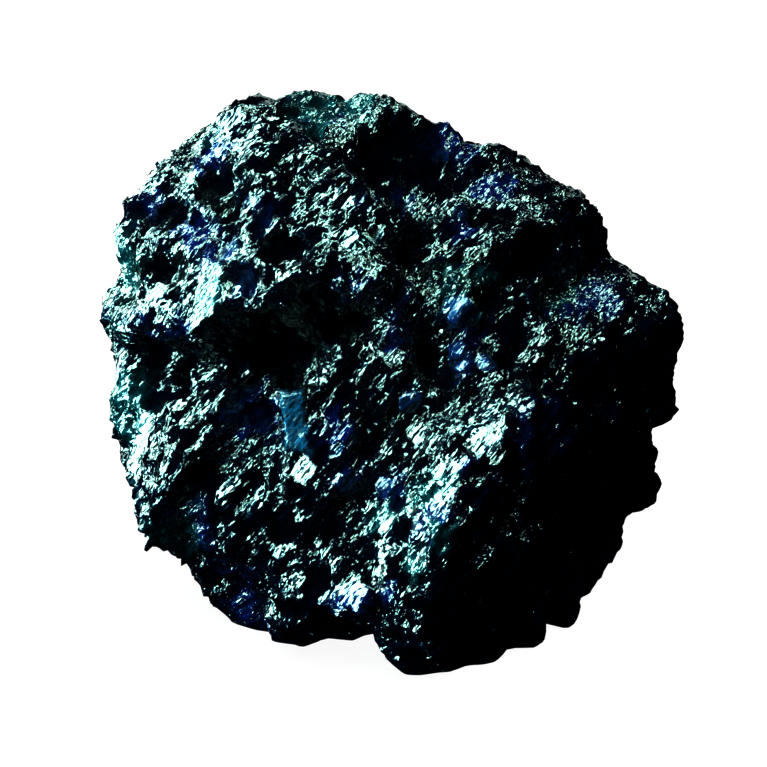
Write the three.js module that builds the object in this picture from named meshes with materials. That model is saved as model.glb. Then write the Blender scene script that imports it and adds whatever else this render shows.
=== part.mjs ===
// A rough hand specimen of azurite: one solid chunk, broken out of massive granular ore.
//
// Millimetres, +Z up. The chunk stands on its broken base at z = 0, and its front faces -Y.
// The origin is the middle of its bounding box, at the base.
//
// The surface is worked out along rays from one point inside the chunk, HEART:
//   1. BLOCKS    the outermost of a few interlocked convex blocks, each the hull of its corners
//   2. HOLLOWS   the pits, notches and undercuts in the blocks, and KNOBS that stand out of them
//   3. LEDGES    broken steps, and CLEAVAGE, flat facets of two sizes drawn out along the ore's grain
import * as THREE from 'three';
import { ConvexGeometry } from 'three/addons/geometries/ConvexGeometry.js';
import { mergeVertices } from 'three/addons/utils/BufferGeometryUtils.js';

const HEART = new THREE.Vector3(0, 0, 33);
const BASE_DENT = 1.3; // dents in the base shallower than this are ground off flat

// ---- The net of rays ----
const NET_DETAIL = 21; // divisions of the icosahedron that the rays start from: 9680 triangles
const NET_JOG = 0.013; // how far each ray is then moved off, as a share of its length
const WELD = 1e-5;     // corners of the net nearer than this are one
const NET_PASSES = 6;  // how often the rays are drawn towards the steep places, where the net is stretched
const NET_DRAW = 0.5;  // how far each time, as a share of the way
const EDGE_PULL = 0.7; // a corner this near a ledge's border moves onto it, so that the step stays sharp

// ---- 1. Blocks: the corners of each convex block ----

const BLOCKS = {
  body: [
    // base
    [20, -8, 0], [5, -12, 0], [-4, -10.8, 0], [-19.5, -12.8, 0], [-25.5, -11.5, 4.5], [-27.5, -11.5, 10],
    [-22, 2, 0], [-14, 20, 0], [8, 25, 0], [25, 12, 0],
    // front, low
    [-17, -20.5, 9], [-12, -23.5, 9], [-5, -26.5, 12.5], [-23, -20, 18.5],
    // front, up to the cave
    [-26, -15, 32], [-11.5, -18.5, 27], [-5, -17, 30.5], [-11, -15, 38],
    [-4.5, -12.5, 48], [2, -11.5, 50], [10, -11, 50],
    // left side
    [-33, -4, 13.5], [-34.2, -2, 25], [-37.5, 2, 39.5], [-28, -6, 44],
    // right side and back
    [29, 6, 0], [36, 5, 14], [37, 4, 25],
    [-28, 22, 26], [0, 33, 28], [26, 26, 24], [20, 28, 46], [-18, 28, 50],
  ],
  cheek: [
    // crest over the front's left end
    [-24, -15, 36], [-27, -18, 31.5], [-29.5, -19, 24.5], [-32, -16, 16.5], [-29.5, -14, 12.5],
    // left side, with its overhang
    [-33, -12, 15.5], [-34, -8, 19.5], [-34.5, -5, 27.5],
    [-35.5, -3, 31], [-36.8, -2, 35], [-37.5, 0, 37.5], [-30, -9, 38],
    [-36, 8, 16], [-33, 14, 34],
    // inside the body
    [-24, -10, 10], [-10, -5, 30], [-10, 10, 20],
  ],
  ridge: [
    // edge between the front and the right side, from the shelf down to the gap between the feet
    [11, -9, 50], [14, -14, 45.5], [16, -17.5, 41.5], [17.5, -19.5, 39.5], [15, -22.5, 36.5],
    [12, -25.5, 33], [9, -28.5, 28.5], [8, -30, 25], [6.5, -31, 21.5], [2, -30, 17], [-1, -25, 7.5],
    // its left flank, where it comes out of the front
    [-3.5, -25, 13], [-3, -20.5, 22], [4, -16, 31], [9, -12, 42],
    [22.5, -12.5, 39],
    // right side, undercut
    [39, 1, 25], [38.5, 2, 14], [34.5, 3, 8], [33.5, 3, 3],
    [29, 3, 0], [27, -4, 0], [19, -15, 0], [3, -18, 0],
    // inside the body
    [0, 5, 5], [10, 15, 20], [5, 5, 45],
  ],
  foot: [
    [-0.5, -19.5, 0], [2.5, -24, 0], [6, -25.5, 0], [16.5, -21, 0], [24.5, -13, 0], [27.5, -5.5, 0],
    [0.5, -28, 14], [6, -31, 20], [16, -24, 22], [25, -14, 20],
    // inside the body
    [-5, 10, 4], [10, 10, 2], [0, 10, 45],
  ],
  brow: [
    // top
    [-18, 9, 69], [-16.5, 12, 68.5], [-12, 14, 70], [-6.5, 14, 69.5], [4, 14, 69.2], [10, 13, 66.3],
    // left side
    [-24.5, 8, 66], [-27.5, 7, 63.8], [-33.8, 5, 60.8], [-36, 4, 58.5],
    [-34, 3, 55], [-33, 2, 51], [-34, 1, 47], [-39.8, 0, 40],
    // lip over the front, rising to the right
    [-32, -9, 45], [-25.5, -15, 47], [-18, -17, 53], [-12, -17, 57],
    [-8, -17, 56.5], [-2, -14, 53.5], [4, -10.5, 55],
    // back, and inside the body
    [-20, 26, 55], [5, 28, 52], [-20, 10, 20], [0, 0, 20], [20, 0, 30],
  ],
  shoulder: [
    [5, 14, 66], [10, 12, 65], [13.5, 12, 62.5], [26.5, 9, 59.2], [29.8, 8, 55.5], [30.5, 7, 49],
    [6, -8, 56], [14, -7, 57], [20, -8, 52], [24, -4, 51], [28, 18, 42], [15, 24, 52],
    // inside the body
    [-10, 10, 30], [0, 0, 20],
  ],
  shelf: [
    [31, 6, 48.5], [34.5, 2, 47], [37.8, 2, 46.5], [39.3, 2, 44.3], [40, 1, 38], [40, 1, 33], [40, 1, 24],
    [38.5, -1, 42], [33.5, -5, 42], [28, -9, 41.5], [20.5, -14, 39.5], [12, -16, 46], [24, 3, 48],
    [36, 14, 30], [24, 18, 42],
    // inside the body
    [-10, 0, 40], [0, 0, 15],
  ],
};

// ---- 2. Hollows and knobs ----
// at: the middle, on the surface. wide, up, down: how far it reaches each side of there, above and
// below. depth: how far it goes in or stands out. turn: degrees anticlockwise, seen from outside.

const HOLLOWS = [
  { at: [-18, -14, 45.5], wide: 7, up: 4.5, down: 7, depth: 6, turn: 45 },       // cave under the brow
  { at: [-9, -15, 51.5], wide: 5, up: 1.8, down: 2.6, depth: 2.4, turn: 20 },    // its narrow right end
  { at: [-31.5, -7.5, 39.5], wide: 2.8, up: 4, down: 4, depth: 4.5, turn: 10 },  // its left end
  { at: [-26, -12, 40], wide: 2.6, up: 3.5, down: 3.5, depth: 4 },
  { at: [6.2, -12.6, 43.3], wide: 3, up: 6, down: 5.5, depth: 4.3 },             // upright pit in the front
  { at: [1.8, 3, 65.5], wide: 8, up: 7.5, down: 7, depth: 9 },                   // top, right of the brow
  { at: [11, 5, 61.5], wide: 3.5, up: 3, down: 3, depth: 4 },
  { at: [3, -10, 56.8], wide: 3.2, up: 3, down: 2.8, depth: 3.5 },
  { at: [13.5, -1.5, 59], wide: 2, up: 3.5, down: 3.5, depth: 2.5 },
  { at: [19, -6, 53.5], wide: 6.5, up: 3, down: 3, depth: 4.5, turn: -10 },      // under the shoulder
  { at: [17.5, -12.5, 45.5], wide: 4, up: 6, down: 5.5, depth: 4, turn: -20 },   // between ridge and shelf
  { at: [-14, -11, 59], wide: 3.4, up: 3, down: 3, depth: 3 },                   // brow
  { at: [-13.5, -1, 65], wide: 2.4, up: 3.5, down: 3.5, depth: 3, turn: 30 },
  { at: [-23, 0, 62.3], wide: 3, up: 2.6, down: 2.6, depth: 3 },
  { at: [-29.5, 0, 59], wide: 3, up: 3.6, down: 3.6, depth: 4 },
  { at: [-29.5, -6, 52.5], wide: 2.2, up: 2.6, down: 2.6, depth: 2.5 },
  { at: [-37, -2, 48.5], wide: 6.5, up: 4.5, down: 4, depth: 3.2 },
  { at: [-18.5, -12, 54], wide: 2.2, up: 2.2, down: 2.4, depth: 2.2 },
  { at: [-17.4, -15.7, 35], wide: 2.8, up: 3, down: 3, depth: 2.6 },             // front
  { at: [-7, -22.5, 22.5], wide: 4, up: 3, down: 3, depth: 3.2 },
  { at: [37, 0, 9], wide: 8, up: 3, down: 3, depth: 1.5 },                       // undercut right side
];
const KNOBS = [
  { at: [-23, -11.5, 52], wide: 2.6, up: 5, down: 4.5, depth: 3 },               // brow
  { at: [-12, -16.5, 35], wide: 2.6, up: 5.2, down: 4.6, depth: 1.6 },           // blade crystal in front
  { at: [-11.5, -18.5, 28], wide: 3, up: 3, down: 3, depth: 2 },                 // broken crystal under it
  { at: [0.5, -13, 46], wide: 2.4, up: 3.6, down: 5, depth: 1.8, turn: 20 },     // lip left of that pit
  { at: [10.8, -11.5, 48.3], wide: 2.6, up: 2.4, down: 2.4, depth: 2 },          // crystals right of it
  { at: [9, -8, 51], wide: 3, up: 3, down: 3, depth: 2.5 },
  { at: [-5, -26, 15], wide: 3.6, up: 3, down: 3, depth: 1.6 },                  // low on the front
  { at: [39, 0, 27], wide: 4, up: 4, down: 4, depth: 1.5 },                      // right side
  { at: [21, -16.5, 2], wide: 4, up: 4, down: 3, depth: 2.5 },                   // foot
];
const SIDE_SLOPE = 1.6;  // over 1: a hollow has a flat floor, and a knob a flat top
const CORNER_CUT = 0.72; // over a half: the corners of its outline are cut off
const NEAR_SIDE = 0.4;   // a hollow only marks what is at least this share of its distance from HEART

// ---- 3. Ledges and cleavage ----

const LEDGES = { size: 15, step: 1.8, tilt: 0.25 };
const CLEAVAGE = [
  { size: 8, relief: 3.4 },
  { size: 3.6, relief: 1.8 },
];
const GRAIN = new THREE.Vector3(0.5, 0.35, 0.79).normalize(); // the way the crystals lie
const GRAIN_STRETCH = 2.2;                                    // how much longer they are than wide
const FACING = new THREE.Vector3(0.79, 0, -0.5).cross(GRAIN).normalize();
const SIDEWAYS = FACING.clone().cross(GRAIN);

// Scattering: large factors with nothing in common, so that near inputs give unrelated values.
const SCATTER = [127.1, 311.7, 74.7, 269.5];
const SCATTER_GAIN = 43758.5453;

// A value from 0 to 1 that looks random and is always the same for the same input.
function chance(x, y, z, which) {
  const mixed = x * SCATTER[0] + y * SCATTER[1] + z * SCATTER[2] + which * SCATTER[3];
  const value = Math.sin(mixed) * SCATTER_GAIN;
  return value - Math.floor(value);
}

// Three such values, each from -0.5 to 0.5.
function chanceVector(x, y, z, which) {
  return new THREE.Vector3(chance(x, y, z, which), chance(x, y, z, which + 1), chance(x, y, z, which + 2))
    .subScalar(0.5);
}

// For one convex block: how far a ray from HEART goes before it leaves it.
function blockOf(corners) {
  const hull = new ConvexGeometry(corners.map((corner) => new THREE.Vector3(...corner).sub(HEART)));
  const position = hull.getAttribute('position');
  const faces = [];
  for (let i = 0; i < position.count; i += 3) {
    const [a, b, c] = [i, i + 1, i + 2].map((k) => new THREE.Vector3().fromBufferAttribute(position, k));
    faces.push(new THREE.Plane().setFromCoplanarPoints(a, b, c));
  }
  return (ray) => {
    let exit = Infinity;
    for (const face of faces) {
      const towards = face.normal.dot(ray);
      if (towards > 0) {
        exit = Math.min(exit, -face.constant / towards);
      }
    }
    return exit;
  };
}

// For one hollow or knob: how deep or high it is at a point of the blocks, and 0 beyond its rim.
// Its sides are flat, like those of the socket that a crystal leaves.
function markOf({ at, wide, up, down, depth, turn = 0 }) {
  const middle = new THREE.Vector3(...at);
  const outward = middle.clone().sub(HEART).normalize();
  const across = new THREE.Vector3(0, 0, 1).cross(outward).normalize();
  across.applyAxisAngle(outward, THREE.MathUtils.degToRad(turn));
  const upward = outward.clone().cross(across);
  const nearest = middle.distanceTo(HEART) * NEAR_SIDE;
  return (point) => {
    if (point.clone().sub(HEART).dot(outward) < nearest) return 0;
    const offset = point.clone().sub(middle);
    const side = Math.abs(offset.dot(across)) / wide;
    const rise = offset.dot(upward);
    const level = Math.abs(rise) / (rise > 0 ? up : down);
    const reach = Math.max(side, level, (side + level) * CORNER_CUT);
    return reach < 1 ? depth * Math.min(1, (1 - reach) * SIDE_SLOPE) : 0;
  };
}

// The ledge that a point lies on: how far it stands out there, and the way to its nearest border.
// Each ledge is what lies nearest to one scattered seed, and has a height and a lean of its own.
function ledgeAt(point, { size, step, tilt }) {
  const place = point.clone().divideScalar(size);
  const cell = place.clone().floor();
  const ledges = [];
  for (let i = -1; i <= 1; i++) {
    for (let j = -1; j <= 1; j++) {
      for (let k = -1; k <= 1; k++) {
        const [x, y, z] = [cell.x + i, cell.y + j, cell.z + k];
        const seed = chanceVector(x, y, z, 0).addScalar(0.5).add(new THREE.Vector3(x, y, z));
        ledges.push({ seed, x, y, z, gap: seed.distanceTo(place) });
      }
    }
  }
  ledges.sort((a, b) => a.gap - b.gap);
  const [own, next] = ledges;
  const lean = chanceVector(own.x, own.y, own.z, 3);
  const height = step * (chance(own.x, own.y, own.z, 6) - 0.5);
  const slope = tilt * size * place.clone().sub(own.seed).dot(lean);
  const border = next.seed.clone().sub(own.seed);
  const toBorder = (next.gap ** 2 - own.gap ** 2) / (2 * border.length());
  border.setLength(toBorder * size);
  return { standOut: height + slope, border };
}

// How far the flat cleavage facets stand out at a point. Each corner of a lattice laid along the
// grain has a height of its own, and the facets run straight from corner to corner.
function cleavageAt(point, { size, relief }) {
  const along = point.dot(GRAIN) / GRAIN_STRETCH;
  const lattice = new THREE.Vector3(point.dot(SIDEWAYS), point.dot(FACING), along).divideScalar(size);
  const corner = lattice.clone().floor();
  const share = lattice.clone().sub(corner).toArray();
  const order = [0, 1, 2].sort((a, b) => share[b] - share[a]);
  let standOut = (1 - share[order[0]]) * (chance(...corner, size) - 0.5);
  order.forEach((axis, rank) => {
    corner.setComponent(axis, corner.getComponent(axis) + 1);
    const rest = rank < 2 ? share[order[rank + 1]] : 0;
    standOut += (share[axis] - rest) * (chance(...corner, size) - 0.5);
  });
  return standOut * relief;
}

// For each corner of the skin, the corners that an edge joins it to.
function neighboursIn(skin) {
  const index = skin.getIndex();
  const near = Array.from({ length: skin.getAttribute('position').count }, () => new Set());
  for (let i = 0; i < index.count; i += 3) {
    const [a, b, c] = [i, i + 1, i + 2].map((k) => index.getX(k));
    near[a].add(b).add(c);
    near[b].add(c).add(a);
    near[c].add(a).add(b);
  }
  return near.map((others) => [...others]);
}

// Draws the rays towards the neighbours that lie farthest away on the surface.
function drawTogether(rays, near, surfaceAt) {
  const points = rays.map(surfaceAt);
  const targets = rays.map((ray, i) => {
    const target = new THREE.Vector3();
    for (const k of near[i]) target.addScaledVector(rays[k], points[k].distanceTo(points[i]));
    return target.normalize();
  });
  rays.forEach((ray, i) => ray.lerp(targets[i], NET_DRAW).normalize());
}

function makeChunk() {
  const blocks = Object.values(BLOCKS).map(blockOf);
  const hollows = HOLLOWS.map(markOf);
  const knobs = KNOBS.map(markOf);
  const along = (ray, distance) => ray.clone().multiplyScalar(distance).add(HEART);
  const onBlocks = (ray) => along(ray, Math.max(...blocks.map((block) => block(ray))));
  const onShape = (ray) => {
    const point = onBlocks(ray);
    let distance = point.distanceTo(HEART);
    for (const hollow of hollows) distance -= hollow(point);
    for (const knob of knobs) distance += knob(point);
    return along(ray, distance);
  };

  const net = new THREE.IcosahedronGeometry(1, NET_DETAIL);
  net.deleteAttribute('normal');
  net.deleteAttribute('uv');
  const skin = mergeVertices(net, WELD);
  const position = skin.getAttribute('position');
  const near = neighboursIn(skin);
  const rays = near.map((_, i) => new THREE.Vector3().fromBufferAttribute(position, i).normalize());
  for (let pass = 0; pass < NET_PASSES; pass++) drawTogether(rays, near, onShape);
  for (const ray of rays) ray.addScaledVector(chanceVector(...ray, 7), NET_JOG).normalize();

  rays.forEach((ray, i) => {
    const { border } = ledgeAt(onBlocks(ray), LEDGES);
    if (border.length() < EDGE_PULL) {
      ray.copy(onBlocks(ray).add(border).sub(HEART).normalize());
    }
    let distance = onShape(ray).distanceTo(HEART) + ledgeAt(onBlocks(ray), LEDGES).standOut;
    const ledge = along(ray, distance);
    for (const facets of CLEAVAGE) distance += cleavageAt(ledge, facets);
    const point = along(ray, distance);
    position.setXYZ(i, point.x, point.y, point.z < BASE_DENT ? 0 : point.z);
  });
  skin.computeBoundingBox();
  const middle = skin.boundingBox.getCenter(new THREE.Vector3());
  skin.translate(-middle.x, -middle.y, 0);
  return skin;
}

const azurite = new THREE.MeshStandardMaterial({
  color: 0x0b1c3c,
  roughness: 0.35,
  metalness: 0.2,
  flatShading: true,
});

const specimen = new THREE.Group();
const chunk = new THREE.Mesh(makeChunk(), azurite);
chunk.name = 'azurite_chunk';
specimen.add(chunk);

export default specimen;
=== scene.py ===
# The azurite specimen as it looks: the CAD chunk with crystals, ore colours and studio light.
#
# Places and sizes on the chunk are in mm, in the CAD's frame: x to the right, -y to the front and
# z up. Those of lights, floor and camera are in metres. Colours are linear.
import math

import bpy
import numpy as np
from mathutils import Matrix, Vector


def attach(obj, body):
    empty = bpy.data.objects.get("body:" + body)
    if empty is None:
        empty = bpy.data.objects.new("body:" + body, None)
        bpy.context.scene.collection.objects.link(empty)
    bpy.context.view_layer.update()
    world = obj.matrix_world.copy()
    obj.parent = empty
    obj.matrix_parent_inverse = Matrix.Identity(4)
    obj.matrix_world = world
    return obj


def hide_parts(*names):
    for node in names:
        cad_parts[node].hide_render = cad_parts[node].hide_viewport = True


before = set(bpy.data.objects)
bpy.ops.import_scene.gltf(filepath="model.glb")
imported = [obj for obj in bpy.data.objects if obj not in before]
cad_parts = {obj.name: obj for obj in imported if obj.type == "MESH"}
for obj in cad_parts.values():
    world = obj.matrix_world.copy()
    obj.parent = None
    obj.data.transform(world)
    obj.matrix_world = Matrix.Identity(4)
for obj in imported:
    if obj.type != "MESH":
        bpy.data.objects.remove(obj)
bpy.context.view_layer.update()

MM = 0.001
NODE = "azurite_chunk"


def unit(vector):
    return np.array(vector) / np.linalg.norm(vector)


# Crystals are drawn out along GRAIN. FACING and SIDEWAYS lie across it.
GRAIN = unit((0.64, 0.3, 0.7))
FACING = unit(np.cross((0.7, 0, -0.64), GRAIN))
SIDEWAYS = np.cross(FACING, GRAIN)

# The ways that a face lies to show one of the lights to the camera, or none.
GLEAM = (-0.49, -0.69, 0.53)  # the key light, at the front left
UPPER = (-0.11, -0.57, 0.81)  # the light above
AWAY = (0.8, -0.4, -0.5)  # none

# ---- patches ----
# A patch takes the crystals near its spots, each (x, y, z, radius). Spots were set from the photo.

# Royal blue ore.
BLUE = [
    # top and brow
    (-10, 9, 68, 4), (-25, 3, 64.5, 3), (-24.5, 1.5, 64, 2), (-33, 0, 58, 2.5),
    (-27, -5, 57.5, 3), (-19.5, -13, 53, 2),
    # right of the top
    (8.5, 8.5, 63, 4), (14, 3, 59.5, 3), (1, 3, 58, 2.5), (9, -4.5, 58, 2.5),
    # round the upright pit
    (-4.5, -15.5, 53.5, 3), (-1, -13, 51, 3), (1, -11.5, 48, 2.5), (0.5, -15.5, 46, 3),
    (9.5, -13, 48.5, 4), (11.5, -9.5, 48, 3), (10, -13.5, 47.5, 3), (9, -15, 44, 3),
    # shelf, and the face under it
    (22, -5.5, 47, 4), (28, -3.5, 47, 4), (19.5, -22, 35, 5), (15, -23.5, 31, 4),
    # front
    (-7.5, -20, 36, 3), (-19, -15, 35.5, 3.5), (9.5, -26.5, 33, 2), (-6, -21.5, 28.5, 2),
    (-1, -22, 27, 3), (4.5, -29, 25.5, 3), (-27.5, -17, 19.5, 4), (-1.5, -30, 15.5, 2),
    (-6.5, -28, 12, 3.5), (-22, -17.5, 12, 3), (-20, -16, 4.5, 4),
]
# Teal ore.
TEAL = [
    # top and brow
    (-11, 9, 68.5, 4), (-6, 12, 68.5, 4), (-25.5, 6, 66, 2), (-25, -13.5, 52, 3),
    # left side
    (-36.5, -1, 54.5, 2.5), (-36, -1, 50, 4), (-38, -4, 42, 2.5), (-37, -7, 33, 4),
    (-34.5, -10.5, 30, 3), (-36.5, -5, 27, 4), (-36.5, -6.5, 23, 3), (-29.5, -16.5, 17, 5),
    # right of the upright pit, and the shelf
    (9.5, -12.5, 50.5, 4), (11.5, -9, 50.5, 2), (22, -4, 47.5, 4),
    # ridge of the front
    (4.5, -26, 29.5, 3), (6, -30, 25, 2.5), (-1.5, -24.5, 24, 3), (2, -29.5, 20.5, 2.5),
]
# Hollows that broken-out crystals left: their walls show no light.
DARK = [
    # top and brow
    (-26, 5.5, 65, 1.5), (-14.5, 0, 65, 1.5), (-24.5, 0, 61.5, 2.5), (-20.5, -3.5, 61.5, 1.5),
    (-15.5, -6.5, 61.5, 1.5), (-22, -4, 60, 1.5), (-10.5, -11, 59.5, 1.5), (-18.5, -8, 58.5, 1.5),
    (-26.5, -4.5, 58.5, 1.5), (-30, 0, 57.5, 2.5), (-36, 0.5, 57.5, 2.5), (-7.5, -15.5, 57, 1.5),
    (-15.5, -10.5, 56.5, 3), (-17, -15, 56, 2), (-4.5, -16.5, 55, 1.5), (-20, -11.5, 54.5, 2),
    (-19.5, -13.5, 53, 2), (-31, -6, 52, 2),
    # right of the top
    (1, 9, 66.5, 3), (4.5, 8.5, 66, 2.5), (-3, 7, 65, 2.5), (3, 6.5, 64, 4.5),
    (-3, 5.5, 63, 2.5), (4.5, 5, 62.5, 3), (-1, 5, 61.5, 3), (5, 3.5, 61, 3),
    (11, 6, 61, 2), (2.5, 4.5, 60.5, 3), (13.5, -1.5, 58, 2.5), (2, -8, 55.5, 3), (20, -5, 52, 4),
    # cave under the brow
    (-11, -15.5, 50.5, 4), (-8.5, -13.5, 46.5, 4), (-16.5, -12.5, 45, 6), (-21, -13.5, 45, 2.5),
    (-20.5, -13, 44, 4), (-12.5, -11.5, 43.5, 4), (-20.5, -13, 39, 4.5), (-15.5, -11, 39, 3),
    # notches left of the cave
    (-35.5, -3, 45.5, 2), (-27.5, -11.5, 43, 2.5), (-33, -6, 40.5, 2.5), (-33, -7, 38, 2.5),
    (-27.5, -7, 38, 2.5), (-27.5, -9, 37.5, 2.5), (-33.5, -7, 37, 2), (-28.5, -12.5, 37, 1.5),
    (-33, -10.5, 34, 3),
    # under and right of the upright pit
    (16.5, -10.5, 46.5, 2), (14.5, -12, 45.5, 2), (15, -14.5, 42, 2), (7, -15, 40, 2),
    (6, -17.5, 38, 2),
    # front
    (-18.5, -15.5, 34.5, 3), (-28.5, -18, 32.5, 2), (-10.5, -20.5, 31.5, 1.5),
    (5.5, -27, 28.5, 1.5), (-32, -16.5, 28, 1), (-27, -19.5, 27.5, 3.5), (0, -24, 25, 2),
    (-4, -23, 24.5, 2), (2.5, -27, 23.5, 1.5), (0.5, -26.5, 23.5, 1.5), (-8, -22.5, 21.5, 2),
    (-25, -20.5, 21, 2.5), (-14.5, -23, 21, 2.5), (-1, -28, 18.5, 2), (-11, -25.5, 15, 2),
    (-14, -26, 10.5, 2.5), (-11, -27, 9.5, 3), (-8.5, -26.5, 9, 2.5),
]
# Places where most of the small faces show the key light.
BRIGHT = [
    # top and brow
    (-19.5, 7, 70, 2), (-18.5, 5, 69, 2.5), (-17.5, 4, 68.5, 2), (-20.5, 2.5, 66.5, 2),
    (-26.5, 0.5, 62, 1.5), (-31.5, 3.5, 61, 1.5), (-5.5, -12, 59, 2.5), (-3, -10, 58.5, 2),
    (-12, -13, 57.5, 2), (-5, -15.5, 57, 2.5), (-21.5, -9.5, 55.5, 2), (-22.5, -14, 52, 2),
    (-24.5, -14, 50, 2), (-24.5, -13.5, 47, 3), (-27, -14, 46, 2),
    # left side
    (-36.5, -0.5, 54.5, 2), (-37, 0.5, 48.5, 2), (-36, -0.5, 48, 2), (-31.5, -9, 47.5, 2.5),
    (-38.5, -2.5, 43, 2), (-36, -6, 41.5, 2), (-28.5, -13.5, 36, 1.5), (-38, -5, 35.5, 2),
    (-37, -7.5, 33, 2.5), (-34.5, -9.5, 30.5, 2.5), (-37.5, -6, 30, 2.5), (-33.5, -13, 30, 2.5),
    (-34, -11, 29, 2.5), (-31.5, -17.5, 29, 2), (-34, -11.5, 28.5, 2), (-35.5, -9, 22, 3),
    # front
    (-19, -18.5, 28.5, 2.5), (-22.5, -20, 24.5, 2), (-22.5, -20, 21.5, 1.5), (-8, -26, 17.5, 1.5),
    (-12.5, -25.5, 15, 2.5), (-6, -28, 14, 2), (-6.5, -28, 12.5, 2), (-8.5, -27.5, 12, 2),
    # ridge of the front
    (10, -22.5, 36.5, 3), (12.5, -26, 35, 2.5), (5.5, -25.5, 30, 3), (8, -29, 28, 2),
    (6, -30, 25, 1.5),
]
# Places where most of the small faces show the light above.
LIFTED = [
    # top and brow
    (-3, 10, 68, 2.5), (-5.5, 7, 67, 2.5), (-9, 3.5, 67, 2.5), (-11.5, 2.5, 67, 2),
    (-3.5, -9.5, 59, 2), (-3, -10.5, 58, 1.5), (-3, -14, 57, 2.5), (-6.5, -17, 56, 2),
    (-2.5, -15, 55.5, 2),
    # right of the top
    (7.5, 9, 64, 2), (-2.5, -7, 62.5, 2), (-0.5, -7.5, 61.5, 2), (9, 0.5, 60, 2.5),
    (17.5, 6, 60, 2), (11.5, 1, 59.5, 3), (6.5, 0.5, 59, 3), (15, 0.5, 59, 2.5),
    (3.5, 2, 58, 2.5), (18, 0, 58, 3),
    # round the upright pit
    (12, -9.5, 56.5, 2), (9.5, -9.5, 56, 2), (-1, -13, 52.5, 1.5), (9.5, -11.5, 52.5, 3),
    (2, -10.5, 52, 2), (5.5, -11, 52, 3), (0.5, -11.5, 50, 2), (11.5, -8.5, 50, 2),
    (1.5, -11.5, 48.5, 2), (-1.5, -14, 48, 2), (1, -12, 47.5, 1.5), (0, -15.5, 46, 2),
    (0, -16, 43.5, 2), (12.5, -17, 41, 2), (11, -17.5, 41, 2),
    # shelf
    (25.5, -2, 48, 3), (21, -5.5, 47, 3), (29.5, -4, 46.5, 3), (33.5, -2.5, 45, 2.5),
    (35.5, -1, 45, 2), (23.5, -10, 45, 2.5), (20, -12.5, 44.5, 2.5), (26, -9.5, 43, 1.5),
]
PATCH_CRYSTAL = 1.5  # the size of the crystals that a patch is made of
PATCH_STRETCH = 2.0  # their stretch along the grain
PATCH_RAGGED = 0.8  # how far a patch's outline wanders, as a share of its radius
PATCH_WAVE = 3.5  # the size of its bays and tongues
PATCH_EDGE = 3  # how sharply it ends
BLUE_SEED = 61
TEAL_SEED = 63
DARK_SEED = 65
BRIGHT_SEED = 67
LIFTED_SEED = 69

# ---- forms ----

# Single flat crystals: the middle, half the width and half the length, the way the face looks, and
# the way its length runs. The first is the azure one.
FRONT_LEFT = (-0.5, -0.65, 0.58)
PLATES = [
    ((-13.3, -19, 35.9), (1.8, 4.8), (0.05, -0.97, 0.2), (-0.06, 0, 1)),
    # brow
    ((-24.8, -14.6, 51.6), (2.2, 6.6), FRONT_LEFT, (0.05, 0.4, 1)),
    ((-32.4, -8.6, 48.6), (1.6, 3.2), FRONT_LEFT, (0.5, 0, 0.8)),
    ((-22, 5.5, 68.7), (1.4, 2.4), FRONT_LEFT, (0.7, 0, 0.6)),
    ((-27, 1.3, 62.6), (1.2, 1.5), FRONT_LEFT, (0.5, 0, 0.8)),
    ((-5.7, -12, 59.2), (1.2, 1.7), (-0.35, -0.7, 0.6), (0.5, 0, 0.8)),
    # left side
    ((-34.3, -10.8, 29.6), (2.2, 3), (-0.62, -0.6, 0.5), (0.3, 0, 1)),
    ((-35.1, -9.9, 25.5), (1.6, 3.4), (-0.65, -0.6, 0.45), (0.2, 0, 1)),
    # front
    ((-12.1, -20.8, 29.2), (1.9, 2), FRONT_LEFT, (0.3, 0, 1)),
    ((-5.6, -27.7, 14.4), (3, 2.4), FRONT_LEFT, (0.2, 0, 1)),
    ((-1, -24.3, 23), (1.2, 2), FRONT_LEFT, (0.1, 0, 1)),
    ((3, -17.7, 33.6), (1.8, 1.6), FRONT_LEFT, (0.5, 0, 0.8)),
    # ridge of the front
    ((12.4, -23.9, 36.3), (1.8, 4.2), FRONT_LEFT, (0.75, 0, 0.6)),
    ((8.6, -25.9, 33), (1, 1.9), FRONT_LEFT, (0.75, 0, 0.6)),
    ((6, -27.4, 28.6), (1.2, 2.6), FRONT_LEFT, (0.6, 0, 0.7)),
]
PLATE_STANDS_OUT = 0.3  # how far a plate stands out from its middle's place
PLATE_REACH = 5  # a plate takes only points that are less than this above or below it
PLATE_RAGGED = 0.3  # how far a plate's outline wanders, as a share of its size
PLATE_WAVE = 1.2  # the size of its bays and tongues
PLATE_EDGE = 5  # how sharply it ends
PLATE_SEED = 71

# Rounded blue crystals: (x, y, z, radius, how far it stands out).
NODULES = [
    (6.5, 6, 63.5, 1.5, 0.7), (9, -2.5, 58.5, 1.5, 0.7), (-20, -12, 54, 2, 0.7),
    (8.5, -13, 49, 2.5, 0.8), (12, -7.5, 46.5, 2, 0.8), (8.5, -15, 43.5, 2.5, 0.8),
    (12, -16, 43, 1.5, 0.8), (2, -17, 37.5, 2, 0.7), (-21.5, -16.5, 35.5, 1.5, 0.7),
    (-6.5, -22, 28, 1.5, 0.7), (-1, -21.5, 27, 1.5, 0.7),
]
DOME_EDGE = 4  # how sharply the blue of a nodule ends
# Lumps of the common ore above and left of the upright pit, given in the same way.
LUMPS = [
    (8.5, -11.5, 52.5, 2, 1.5), (12, -9, 52, 2, 1.3), (2.5, -11.5, 51.5, 2, 1.4),
    (5.5, -10.5, 51, 2, 1.5), (11, -9, 50.5, 2, 1.2), (0, -12, 48.5, 1.5, 1),
    (0.5, -14.5, 46, 1.5, 1), (0, -16, 43.5, 1.5, 1),
]

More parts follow.
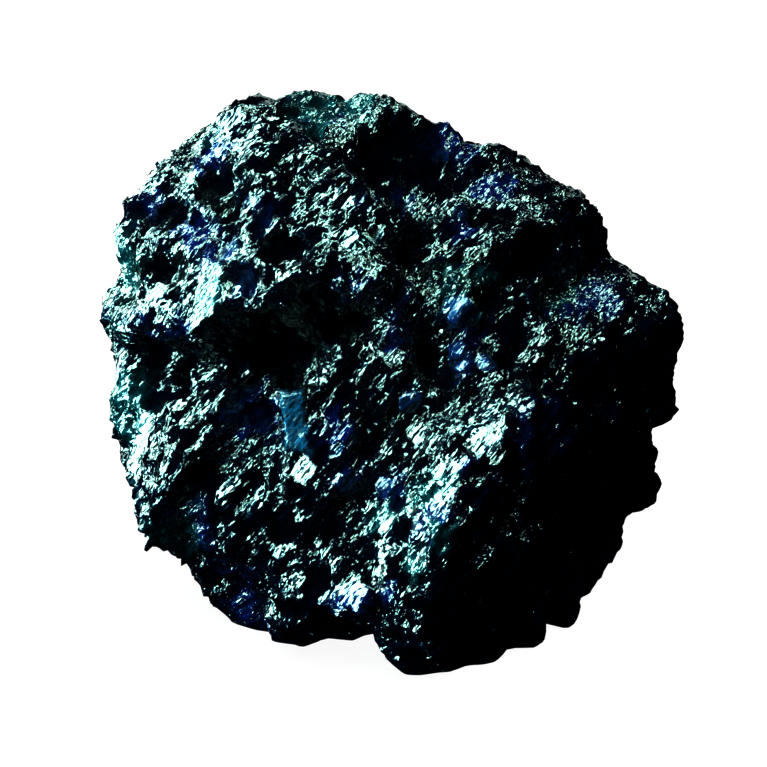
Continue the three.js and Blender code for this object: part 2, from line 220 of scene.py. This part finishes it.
# The relief's layers of crystals: their size, their stretch along the grain, the steps between
# neighbours, how steeply their faces lean, the depth of the grooves between them, and a seed.
COARSE_RELIEF = {"size": 2.6, "stretch": 1.8, "step": 0.55, "lean": 0.30, "groove": 0.0, "seed": 10}
FINER_RELIEF = [
    {"size": 1.1, "stretch": 3.0, "step": 0.28, "lean": 0.30, "groove": 0.06, "seed": 30},
    {"size": 0.6, "stretch": 2.5, "step": 0.06, "lean": 0.10, "groove": 0.0, "seed": 50},
]
GROOVE_WIDTH = 0.25  # as a share of the crystals' size
HOLLOW_DEPTH = 0.9
CALM_SIDE = 24  # right of this x the coarse relief is lower
CALM_SIDE_OVER = 8  # it gets lower over this many mm
CALM_SIDE_SHARE = 0.6  # by this share
FOOT = 1.5  # all relief fades out over this height above the flat base
CAD_ROUNDING = 0.5  # how much the CAD's facets are smoothed before the relief is laid on

# ---- looks ----

# The facets that glitter: their size, their stretch along the grain, how far they tilt in fine and
# in coarse ore, and an offset of their own.
FACETS = [
    (0.95, 3.2, 0.5, 0.65, (3.3, 7.1, 1.9)),
    (0.32, 4.2, 0.95, 0.85, (11.2, 5.4, 8.8)),
    (0.14, 3.6, 0.7, 0.2, (21.0, 2.7, 4.1)),
]
# How much less facets tilt in hollows, on plates, on the azure plate and on nodules.
CALM = {"dark": 0.8, "flat": 0.45, "azure": 0.4, "dome": 0.35}

NAVY = (0.0008, 0.005, 0.018, 1)
ROYAL_BLUE = (0.003, 0.018, 0.11, 1)
TEAL_ORE = (0.004, 0.065, 0.075, 1)
NODULE_BLUE = (0.006, 0.05, 0.16, 1)
AZURE = (0.006, 0.12, 0.21, 1)

# The noise that spreads coarse and blue ore: its scale per metre, its detail and its roughness.
COARSE_ORE_NOISE = (130.0, 2.0, 0.5)
BLUE_ORE_NOISE = (55.0, 4.0, 0.65)
# Strips along the grain in which few facets catch a light.
DULL_STRIPS = {"size": 2.0, "stretch": 2.6, "offset": (5.0, 1.0, 2.0)}

MINT = (0.84, 1.0, 0.95)
CYAN = (0.12, 0.65, 1.0)
WHITE = (1, 1, 1)
KEY_SIDE = (-0.84, -0.3, 0.42)  # the way to the key light, from the chunk
CHUNK_MIDDLE = (0, 0, 0.033)
# The chunk's lights: the way to each, its distance and side, its radiance and its colour.
CHUNK_LIGHTS = [
    ("key", KEY_SIDE, 0.5, 0.52, 10.3, MINT),
    ("fringe", KEY_SIDE, 0.52, 0.85, 1.0, CYAN),
    ("rim", (-0.7, 0.7, 0.12), 0.5, 0.38, 8, MINT),
    ("over", (-0.2, -0.12, 0.97), 0.5, 0.31, 7.5, MINT),
    ("back", (0.1, 0.95, 0.25), 0.5, 0.3, 1.5, MINT),
]
FLOOR_LIGHT = ("top", (0, 0, 1), 1.5, 2.5, 1.6, WHITE)
FLOOR_HALF_SIDE = 1.5

# The camera looks down on the front, at the photo's angle.
CAMERA_AIM = (-0.0015, -0.00025, 0.0315)
CAMERA_ELEVATION = math.radians(28)
CAMERA_DISTANCE = 0.42
CAMERA_LENS = 141.9  # in mm, for a sensor 36 mm wide


# ---- mesh helpers ----


def cad_mesh(node):
    """The node's corners welded to one another: points in mm, and triangles."""
    mesh = node.data
    points = np.empty(len(mesh.vertices) * 3)
    mesh.vertices.foreach_get("co", points)
    points = points.reshape(-1, 3) / MM
    mesh.calc_loop_triangles()
    tris = np.empty(len(mesh.loop_triangles) * 3, dtype=np.int64)
    mesh.loop_triangles.foreach_get("vertices", tris)
    _, first, same = np.unique(np.round(points, 3), axis=0, return_index=True, return_inverse=True)
    tris = same.reshape(-1)[tris].reshape(-1, 3)
    return points[first], tris


def all_edges(tris):
    """The three edges of each triangle, the lower corner first."""
    return np.sort(np.concatenate([tris[:, [0, 1]], tris[:, [1, 2]], tris[:, [2, 0]]]), axis=1)


def split_in_four(points, tris):
    """Each triangle becomes four, and the new corners lie in the middles of its edges."""
    pairs, which = np.unique(all_edges(tris), axis=0, return_inverse=True)
    a, b, c = which.reshape(3, -1) + len(points)
    points = np.concatenate([points, points[pairs].mean(axis=1)])
    i, j, k = tris.T
    quarters = ((i, a, c), (a, j, b), (c, b, k), (a, b, c))
    return points, np.concatenate([np.stack(quarter, axis=1) for quarter in quarters])


def smooth(points, tris, share):
    """Moves each point by that share of the way to the middle of its neighbours."""
    edges = np.unique(all_edges(tris), axis=0)
    count = np.bincount(edges.ravel(), minlength=len(points))
    total = np.zeros_like(points)
    for axis in range(3):
        total[:, axis] += np.bincount(edges[:, 0], points[edges[:, 1], axis], len(points))
        total[:, axis] += np.bincount(edges[:, 1], points[edges[:, 0], axis], len(points))
    return points + (total / count[:, None] - points) * share


def normals(points, tris):
    """The way that the surface looks at each point."""
    a, b, c = (points[tris[:, k]] for k in range(3))
    face = np.cross(b - a, c - a)
    out = np.zeros_like(points)
    for corner in range(3):
        for axis in range(3):
            out[:, axis] += np.bincount(tris[:, corner], face[:, axis], len(points))
    return out / np.maximum(np.linalg.norm(out, axis=1), 1e-12)[:, None]


# ---- crystals ----


def chance(cells, which):
    """A value from 0 to 1 for each whole-numbered cell, always the same."""
    mixed = cells @ np.array((127.1, 311.7, 74.7)) + which * 269.5
    value = np.sin(mixed) * 43758.5453
    return value - np.floor(value)


def grain_space(points, size, stretch):
    """Points as multiples of size, with the grain's direction drawn together."""
    return np.stack([points @ SIDEWAYS, points @ FACING, points @ GRAIN / stretch], axis=1) / size


def crystals(points, size, stretch, seed):
    """The crystal that each point lies in: its cell, the offset from its middle, and the gap to the
    next crystal."""
    place = grain_space(points, size, stretch)
    cell = np.floor(place)
    best = np.full(len(points), 1e9)
    second = np.full(len(points), 1e9)
    own = np.zeros_like(place)
    offset = np.zeros_like(place)
    for i in (-1, 0, 1):
        for j in (-1, 0, 1):
            for k in (-1, 0, 1):
                other = cell + (i, j, k)
                middle = other + np.stack([chance(other, seed + n) for n in (1, 2, 3)], axis=1)
                gap = ((place - middle) ** 2).sum(axis=1)
                nearer = gap < best
                second = np.where(nearer, best, np.minimum(second, gap))
                best = np.where(nearer, gap, best)
                own[nearer] = other[nearer]
                offset[nearer] = (place - middle)[nearer]
    return own, offset, np.sqrt(second) - np.sqrt(best)


def noise(points, size, seed):
    """A smooth value from 0 to 1 that changes over size mm."""
    place = points / size
    cell = np.floor(place)
    share = place - cell
    share = share * share * (3 - 2 * share)
    total = np.zeros(len(points))
    for i in (0, 1):
        for j in (0, 1):
            for k in (0, 1):
                weight = np.prod(np.where((i, j, k), share, 1 - share), axis=1)
                total += weight * chance(cell + (i, j, k), seed)
    return total


def patches(points, spots, seed):
    """1 on the crystals in the patches, 0 on the others."""
    _, offset, _ = crystals(points, PATCH_CRYSTAL, PATCH_STRETCH, seed)
    axes = np.stack([SIDEWAYS, FACING, GRAIN * PATCH_STRETCH])
    middles = points - PATCH_CRYSTAL * (offset @ axes)
    ragged = PATCH_RAGGED * (noise(middles, PATCH_WAVE, seed) - 0.5)
    total = np.zeros(len(points))
    for x, y, z, radius in spots:
        reach = np.linalg.norm(middles - (x, y, z), axis=1) / radius
        total = np.maximum(total, np.clip((1.05 - reach + ragged) * PATCH_EDGE, 0, 1))
    return total


def crystal_height(points, size, stretch, step, lean, groove, seed):
    """How far one layer of crystals stands out at each point."""
    own, offset, gap = crystals(points, size, stretch, seed)
    slope = np.stack([chance(own, seed + n) - 0.5 for n in (4, 5, 6)], axis=1)
    height = step * (chance(own, seed + 7) - 0.5) + lean * size * (offset * slope).sum(axis=1) * 2
    return height - groove * np.clip(1 - gap / GROOVE_WIDTH, 0, 1)


# ---- the chunk's shape ----


def lay_plates(points):
    """Moves the points on each plate into its plane. Also how far each point is on each plate."""
    shares = []
    ragged = PLATE_RAGGED * (noise(points, PLATE_WAVE, PLATE_SEED) - 0.5)
    for middle, (half_width, half_length), facing, length in PLATES:
        facing = unit(facing)
        along = unit(np.array(length) - facing * np.dot(length, facing))
        offset = points - middle
        above = offset @ facing
        across = np.abs(offset @ np.cross(along, facing)) / half_width
        reach = np.maximum(across, np.abs(offset @ along) / half_length) + ragged
        share = np.clip((1 - reach) * PLATE_EDGE, 0, 1) * (np.abs(above) < PLATE_REACH)
        points = points + facing * ((PLATE_STANDS_OUT - above) * share)[:, None]
        shares.append(share)
    return points, np.array(shares)


def dome_height(points, domes):
    """How far the rounded forms stand out at each point, and how far the point is on one."""
    total = np.zeros(len(points))
    share = np.zeros(len(points))
    for x, y, z, radius, height in domes:
        reach = np.linalg.norm(points - (x, y, z), axis=1) / radius
        total = np.maximum(total, height * np.sqrt(np.clip(1 - reach**2, 0, 1)))
        share = np.maximum(share, np.clip((1 - reach) * DOME_EDGE, 0, 1))
    return total, share


def relief(points):
    """How far all layers of crystals stand out at each point."""
    to_side = np.clip((points[:, 0] - CALM_SIDE) / CALM_SIDE_OVER, 0, 1)
    height = crystal_height(points, **COARSE_RELIEF) * (1 - CALM_SIDE_SHARE * to_side)
    for layer in FINER_RELIEF:
        height += crystal_height(points, **layer)
    return height


def shape_chunk():
    """The chunk's points and triangles, and how far each point is on each kind of patch or form."""
    points, tris = cad_mesh(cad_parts[NODE])
    for _ in range(2):
        points, tris = split_in_four(points, tris)
    points = smooth(points, tris, CAD_ROUNDING)
    points, on_plates = lay_plates(points)
    on_any_plate = on_plates.max(axis=0)
    nodules, on_nodules = dome_height(points, NODULES)
    lumps, _ = dome_height(points, LUMPS)
    points = points + normals(points, tris) * np.maximum(nodules, lumps)[:, None]

    dark = patches(points, DARK, DARK_SEED) * (1 - on_any_plate)
    bright = patches(points, BRIGHT, BRIGHT_SEED)
    height = relief(points)
    height = height * (1 - 0.5 * np.maximum(dark, bright))
    height = height * (1 - 0.85 * np.maximum(on_any_plate, on_nodules)) - HOLLOW_DEPTH * dark
    grounded = np.clip(points[:, 2] / FOOT, 0, 1)
    points = points + normals(points, tris) * (height * grounded)[:, None]
    points[:, 2] = np.maximum(points[:, 2], 0)
    marks = {
        "blue": patches(points, BLUE, BLUE_SEED),
        "teal": patches(points, TEAL, TEAL_SEED),
        "dark": dark,
        "bright": bright,
        "lifted": patches(points, LIFTED, LIFTED_SEED),
        "flat": on_any_plate,
        "azure": on_plates[0],
        "dome": on_nodules,
    }
    return points, tris, marks


def make_chunk():
    points, tris, marks = shape_chunk()
    mesh = bpy.data.meshes.new("azurite_skin")
    mesh.from_pydata((points * MM).tolist(), [], tris.tolist())
    mesh.update()
    mesh.shade_smooth()
    for name, values in marks.items():
        mesh.attributes.new(name, "FLOAT", "POINT").data.foreach_set("value", values)
    piece = bpy.data.objects.new("azurite_skin", mesh)
    bpy.context.scene.collection.objects.link(piece)
    return piece


# ---- material ----


class Nodes:
    """Short calls for building one material's node tree."""

    def __init__(self, name):
        self.material = bpy.data.materials.new(name)
        self.material.use_nodes = True
        self.tree = self.material.node_tree
        self.tree.nodes.clear()

    def feed(self, socket, value):
        """Links the socket to a node's output, or sets it to a value."""
        if isinstance(value, bpy.types.NodeSocket):
            self.tree.links.new(value, socket)
        else:
            socket.default_value = value

    def add(self, kind, inputs=None, **settings):
        node = self.tree.nodes.new(kind)
        for key, value in settings.items():
            setattr(node, key, value)
        for key, value in (inputs or {}).items():
            self.feed(node.inputs[key], value)
        return node

    def surface(self, output):
        """Makes this shader the material's surface."""
        self.feed(self.add("ShaderNodeOutputMaterial").inputs["Surface"], output)

    def math(self, operation, a, b=0.0):
        return self.add("ShaderNodeMath", {0: a, 1: b}, operation=operation).outputs[0]

    def one_minus(self, value):
        return self.math("SUBTRACT", 1.0, value)

    def highest(self, first, *others):
        for other in others:
            first = self.math("MAXIMUM", first, other)
        return first

    def vector(self, operation, a, b=(0, 0, 0), scale=None):
        inputs = {0: a, 1: b}
        if scale is not None:
            inputs["Scale"] = scale
        node = self.add("ShaderNodeVectorMath", inputs, operation=operation)
        return node.outputs["Value" if operation == "DOT_PRODUCT" else "Vector"]

    def mix(self, share, a, b):
        """Colour a, or colour b where share is 1."""
        node = self.add("ShaderNodeMix", data_type="RGBA")
        for socket, value in ((0, share), (6, a), (7, b)):
            self.feed(node.inputs[socket], value)
        return node.outputs[2]

    def ramp(self, value, low, high, to_low=0.0, to_high=1.0):
        """to_low where value is low or less, to_high where it is high or more, even between."""
        inputs = {"Value": value, "From Min": low, "From Max": high}
        inputs.update({"To Min": to_low, "To Max": to_high})
        return self.add("ShaderNodeMapRange", inputs).outputs["Result"]

    def channels(self, colour):
        return self.add("ShaderNodeSeparateColor", {0: colour}).outputs

    def attribute(self, name):
        return self.add("ShaderNodeAttribute", attribute_name=name).outputs["Fac"]

    def noise(self, place, scale, detail, roughness):
        inputs = {"Vector": place, "Scale": scale, "Detail": detail, "Roughness": roughness}
        return self.add("ShaderNodeTexNoise", inputs).outputs["Fac"]


def along_grain(n, place, size, stretch, offset):
    """The place as multiples of size, with the grain's direction drawn together."""
    axes = [
        n.math("MULTIPLY", n.vector("DOT_PRODUCT", place, tuple(axis)), 1 / (size * MM * drawn))
        for axis, drawn in ((SIDEWAYS, 1), (FACING, 1), (GRAIN, stretch))
    ]
    combined = n.add("ShaderNodeCombineXYZ", {0: axes[0], 1: axes[1], 2: axes[2]}).outputs[0]
    return n.vector("ADD", combined, offset)


def facet_colours(n, place):
    """For each size of facet, a colour by chance that every facet has to itself."""
    colours = []
    for size, stretch, _, _, offset in FACETS:
        moved = along_grain(n, place, size, stretch, offset)
        voronoi = n.add("ShaderNodeTexVoronoi", {"Vector": moved, "Scale": 1.0})
        colours.append(voronoi.outputs["Color"])
    return colours


def facet_normal(n, place, colours, marks):
    """The way each facet lies: tilted by chance, and turned where a patch or dull strip says so."""
    normal = n.add("ShaderNodeNewGeometry").outputs["Normal"]
    coarse = n.highest(n.ramp(n.noise(place, *COARSE_ORE_NOISE), 0.44, 0.60), marks["bright"])
    coarse = n.math("MULTIPLY", coarse, n.one_minus(marks["lifted"]))
    tilt = (0, 0, 0)
    for colour, (_, _, in_fine, in_coarse, _) in zip(colours, FACETS):
        centred = n.vector("SUBTRACT", colour, (0.5, 0.5, 0.5))
        amount = n.ramp(coarse, 0.0, 1.0, in_fine, in_coarse)
        tilt = n.vector("ADD", tilt, n.vector("SCALE", centred, scale=amount))
    calm = n.highest(*(n.math("MULTIPLY", marks[name], share) for name, share in CALM.items()))
    tilt = n.vector("SCALE", tilt, scale=n.one_minus(calm))

    strips = n.noise(along_grain(n, place, **DULL_STRIPS), 1.0, 2.0, 0.5)
    spared = n.highest(marks["bright"], marks["lifted"], marks["flat"])
    dull = n.math("MULTIPLY", n.ramp(strips, 0.50, 0.57, 0.0, 0.7), n.one_minus(spared))
    away = n.vector("SCALE", AWAY, scale=n.highest(marks["dark"], dull))
    turned = n.vector("ADD", tilt, away)
    for direction, mark, share in ((GLEAM, "bright", 0.65), (UPPER, "lifted", 0.8)):
        turning = n.vector("SUBTRACT", direction, normal)
        amount = n.math("MULTIPLY", marks[mark], share)
        turned = n.vector("ADD", turned, n.vector("SCALE", turning, scale=amount))
    return n.vector("NORMALIZE", n.vector("ADD", normal, turned))


def ore_colour(n, place, small, tiny, marks):
    """Navy ore with blue, teal and azure patches, lighter and darker from facet to facet."""
    blue = n.highest(marks["blue"], n.ramp(n.noise(place, *BLUE_ORE_NOISE), 0.60, 0.70))
    colour = n.mix(blue, NAVY, ROYAL_BLUE)
    colour = n.mix(marks["teal"], colour, TEAL_ORE)
    colour = n.mix(n.math("MULTIPLY", marks["dome"], 0.8), colour, NODULE_BLUE)
    colour = n.mix(marks["azure"], colour, AZURE)
    shade = n.ramp(small[0], 0.0, 1.0, 0.25, 1.6)
    speckle = n.math("MULTIPLY", marks["azure"], n.ramp(tiny[0], 0.0, 1.0, -0.8, 1.0))
    shade = n.math("MULTIPLY", shade, n.math("ADD", 1.0, speckle))
    return n.vector("SCALE", colour, scale=shade)


def ore_roughness(n, small, tiny, marks):
    """Glossy facets, duller on nodules and on the azure plate."""
    glossy = n.ramp(small[1], 0.0, 1.0, 0.03, 0.12)
    on_nodules = n.math("MULTIPLY", marks["dome"], 0.25)
    on_azure = n.math("MULTIPLY", marks["azure"], n.ramp(tiny[1], 0.0, 1.0, 0.1, 0.55))
    return n.highest(glossy, on_nodules, on_azure)


def azurite_material():
    n = Nodes("azurite")
    place = n.add("ShaderNodeTexCoord").outputs["Object"]
    names = ("blue", "teal", "dark", "bright", "lifted", "flat", "azure", "dome")
    marks = {name: n.attribute(name) for name in names}
    colours = facet_colours(n, place)
    small = n.channels(colours[1])
    tiny = n.channels(colours[2])
    shader = n.add(
        "ShaderNodeBsdfPrincipled",
        {
            "Base Color": ore_colour(n, place, small, tiny, marks),
            "Roughness": ore_roughness(n, small, tiny, marks),
            "Normal": facet_normal(n, place, colours, marks),
            "IOR": 1.78,
            "Specular IOR Level": 1.0,
            "Specular Tint": (0.72, 0.95, 0.85, 1),
        },
    )
    n.surface(shader.outputs[0])
    return n.material


def floor_material():
    """Pale and a little bright by itself, so that the floor stays pale round the dark chunk."""
    n = Nodes("floor_pale")
    lit = n.add("ShaderNodeBsdfDiffuse", {"Color": (0.2, 0.2, 0.2, 1)})
    glow = n.add("ShaderNodeEmission", {"Color": (1, 1, 1, 1), "Strength": 0.8})
    both = n.add("ShaderNodeAddShader", {0: lit.outputs[0], 1: glow.outputs[0]})
    n.surface(both.outputs[0])
    return n.material


# ---- studio ----


def lit_only(name, obj):
    """A collection of one object, for the lights that light only that."""
    made = bpy.data.collections.new(name)
    made.objects.link(obj)
    return made


def place_towards(obj, aim, direction, distance):
    """Puts a light or camera at that distance from aim, and makes it look back at aim."""
    direction = Vector(direction).normalized()
    obj.location = Vector(aim) + direction * distance
    obj.rotation_mode = "QUATERNION"
    obj.rotation_quaternion = (-direction).to_track_quat("-Z", "Y")
    bpy.context.scene.collection.objects.link(obj)


def softbox(receivers, name, towards, distance, side, radiance, colour):
    """A square area light in that direction from the chunk's middle, of that radiance."""
    light = bpy.data.lights.new(name, "AREA")
    light.shape = "SQUARE"
    light.size = side
    light.energy = radiance * math.pi * side * side
    light.color = colour
    obj = bpy.data.objects.new(name, light)
    place_towards(obj, CHUNK_MIDDLE, towards, distance)
    obj.light_linking.receiver_collection = receivers


def make_floor():
    side = FLOOR_HALF_SIDE
    mesh = bpy.data.meshes.new("floor")
    corners = [(-side, -side, 0), (side, -side, 0), (side, side, 0), (-side, side, 0)]
    mesh.from_pydata(corners, [], [(0, 1, 2, 3)])
    mesh.materials.append(floor_material())
    floor = bpy.data.objects.new("floor", mesh)
    bpy.context.scene.collection.objects.link(floor)
    floor.visible_diffuse = False
    floor.visible_glossy = False
    return floor


def make_world():
    """White behind the object, but almost no light on it."""
    world = bpy.data.worlds.new("studio")
    bpy.context.scene.world = world
    world.use_nodes = True
    tree = world.node_tree
    tree.nodes.clear()
    path = tree.nodes.new("ShaderNodeLightPath")
    dim = tree.nodes.new("ShaderNodeBackground")
    dim.inputs["Color"].default_value = (0.35, 0.55, 1.0, 1)
    dim.inputs["Strength"].default_value = 0.012
    pale = tree.nodes.new("ShaderNodeBackground")
    pale.inputs["Color"].default_value = (1, 1, 1, 1)
    pale.inputs["Strength"].default_value = 1.0
    mix = tree.nodes.new("ShaderNodeMixShader")
    out = tree.nodes.new("ShaderNodeOutputWorld")
    tree.links.new(path.outputs["Is Camera Ray"], mix.inputs[0])
    tree.links.new(dim.outputs[0], mix.inputs[1])
    tree.links.new(pale.outputs[0], mix.inputs[2])
    tree.links.new(mix.outputs[0], out.inputs[0])


def make_camera():
    camera = bpy.data.cameras.new("camera")
    camera.sensor_width = 36
    camera.lens = CAMERA_LENS
    camera.clip_start = 0.01
    camera.clip_end = 50
    obj = bpy.data.objects.new("camera", camera)
    back = (0, -math.cos(CAMERA_ELEVATION), math.sin(CAMERA_ELEVATION))
    place_towards(obj, CAMERA_AIM, back, CAMERA_DISTANCE)
    bpy.context.scene.camera = obj


chunk = make_chunk()
chunk.data.materials.append(azurite_material())
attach(chunk, "root")
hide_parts(NODE)

floor_only = lit_only("lit_floor", make_floor())
chunk_only = lit_only("lit_rock", chunk)
for settings in CHUNK_LIGHTS:
    softbox(chunk_only, *settings)
softbox(floor_only, *FLOOR_LIGHT)
make_world()
make_camera()

# A gamma under 1 deepens the shades between the glittering facets.
view = bpy.context.scene.view_settings
view.view_transform = "Standard"
view.gamma = 0.62
view.exposure = 0.25
